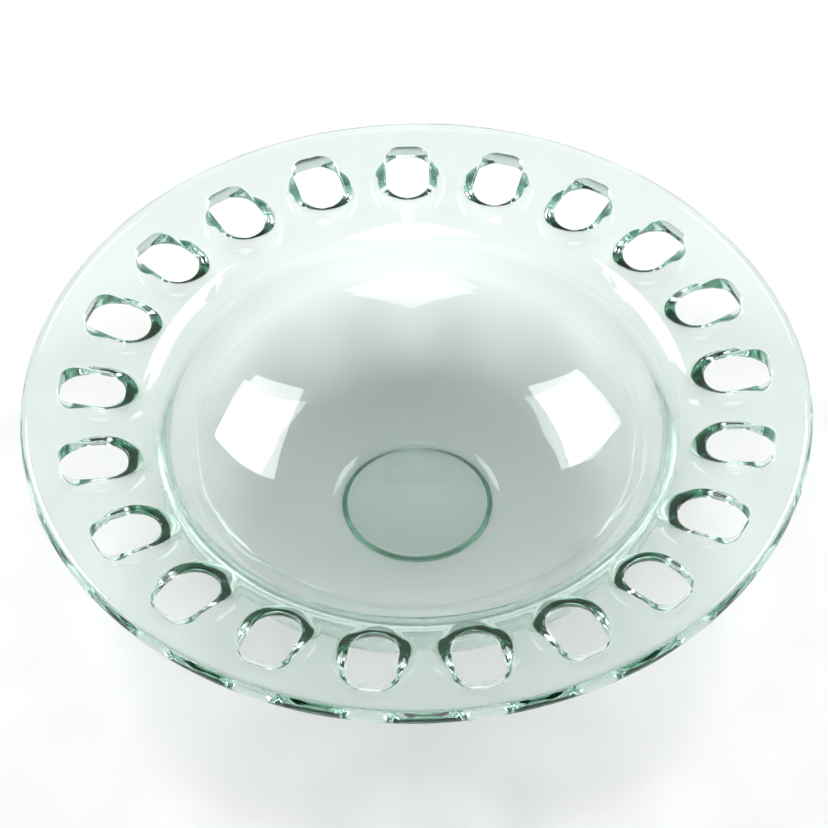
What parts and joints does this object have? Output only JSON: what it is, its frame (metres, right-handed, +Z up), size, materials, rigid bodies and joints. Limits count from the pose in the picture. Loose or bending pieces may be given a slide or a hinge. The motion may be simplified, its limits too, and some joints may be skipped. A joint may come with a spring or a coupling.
{
  "type": "slotted-rim glass bowl",
  "caption": "Round pale green glass bowl with a flat disc foot and a wide, gently rising rim pierced by a ring of rounded slots.",
  "frame": {"origin": "centre of the foot's underside, where the bowl stands", "axes": "+Z up along the bowl's own axis; +Y runs through the middle of a slot"},
  "size_m": [0.3, 0.3, 0.0709],
  "materials": {
    "green_glass": "clear, pale green, smooth and slightly wavy"
  },
  "bodies": {
    "root": {"glass_bowl": "green_glass"}
  },
  "joints": []
}
